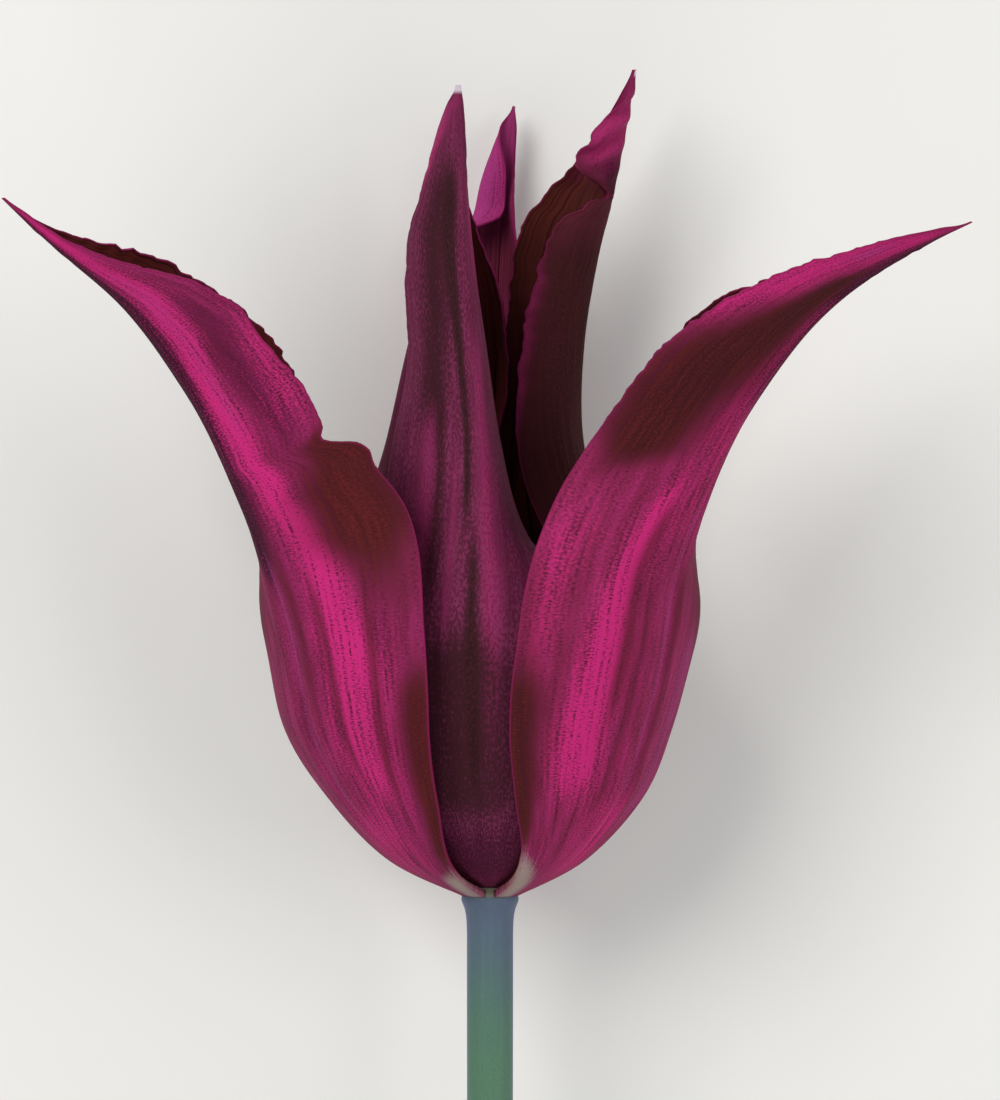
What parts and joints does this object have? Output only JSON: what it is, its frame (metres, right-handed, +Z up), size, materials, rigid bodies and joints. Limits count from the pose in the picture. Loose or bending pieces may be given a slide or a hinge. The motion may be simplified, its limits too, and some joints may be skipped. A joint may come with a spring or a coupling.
{
  "type": "lily-flowered tulip",
  "caption": "Cut tulip laid on its side: a goblet bloom of long pointed tepals, the outer ones swept outwards, on a smooth, gently bent, leafless stem.",
  "frame": {"origin": "middle of the small flat on the rear outer tepal's belly, on the surface that the flower lies on", "axes": "+Y up the bloom's axis from the stem to the tips, +Z up from the surface, +X across the bloom"},
  "size_m": [0.0958, 0.2889, 0.0546],
  "materials": {
    "tepal": "dark maroon with a magenta satin sheen",
    "stem": "smooth, waxy blue-green",
    "pistil": "smooth pale green, felted crest",
    "stamen": "powdery black-violet"
  },
  "bodies": {
    "root": {"outer_left": "tepal", "outer_right": "tepal", "outer_back": "tepal", "inner_front": "tepal", "inner_left": "tepal", "inner_right": "tepal", "stem": "stem", "pistil": "pistil", "stamen_1": "stamen", "stamen_2": "stamen", "stamen_3": "stamen", "stamen_4": "stamen", "stamen_5": "stamen", "stamen_6": "stamen"}
  },
  "joints": []
}
